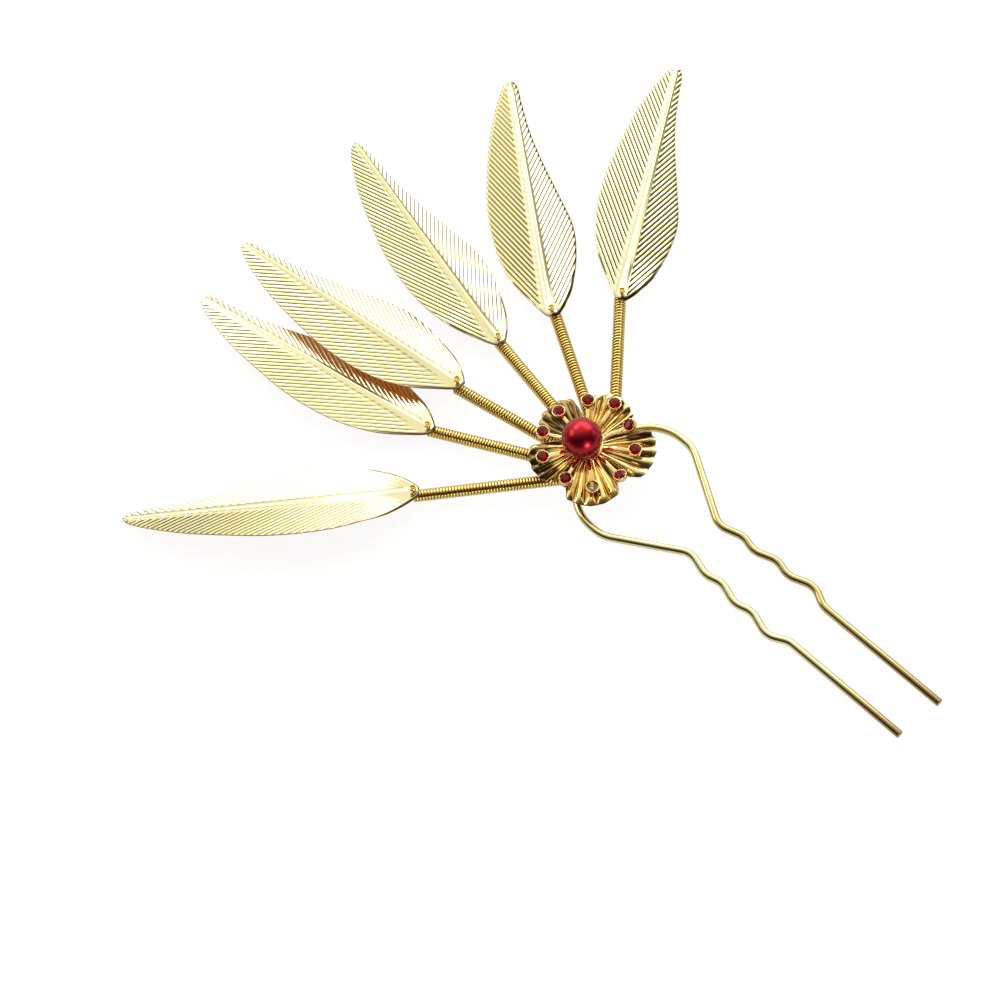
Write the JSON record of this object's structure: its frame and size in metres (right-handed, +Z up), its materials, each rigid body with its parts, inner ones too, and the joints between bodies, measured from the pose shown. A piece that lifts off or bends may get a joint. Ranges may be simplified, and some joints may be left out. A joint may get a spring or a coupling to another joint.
{
  "type": "u-shaped hairpin",
  "caption": "Wire hairpin with a bulb-shaped arch and waved legs, carrying a pleated metal flower with a red pearl, set stones on stamens and a fan of pressed leaves on coil springs",
  "frame": {"origin": "on the table plane, below the middle of the outline seen from above", "axes": "+Z up from the table that the hairpin lies on, +Y from the pin's tips to the leaves, +X to the right seen from above with the leaves away from the viewer"},
  "size_m": [0.1762, 0.1948, 0.0156],
  "materials": {
    "pin_gold": "polished",
    "petal_gold": "polished",
    "leaf_gold": "polished",
    "spring_gold": "polished",
    "red_pearl": "pearl lustre",
    "garnet": "cut and polished"
  },
  "bodies": {
    "root": {"u_pin": "pin_gold", "back_plate": "pin_gold", "centre_peg": "pin_gold", "flower": "petal_gold", "stamens": "petal_gold", "pearl": "red_pearl", "spring_1": "spring_gold", "spring_2": "spring_gold", "spring_3": "spring_gold", "spring_4": "spring_gold", "spring_5": "spring_gold", "spring_6": "spring_gold", "leaf_1": "leaf_gold", "leaf_2": "leaf_gold", "leaf_3": "leaf_gold", "leaf_4": "leaf_gold", "leaf_5": "leaf_gold", "leaf_6": "leaf_gold", "stone_1": "garnet", "stone_2": "garnet", "stone_3": "garnet", "stone_4": "garnet", "stone_5": "garnet", "stone_7": "garnet", "stone_8": "garnet", "stone_9": "garnet", "stone_10": "garnet"}
  },
  "joints": []
}
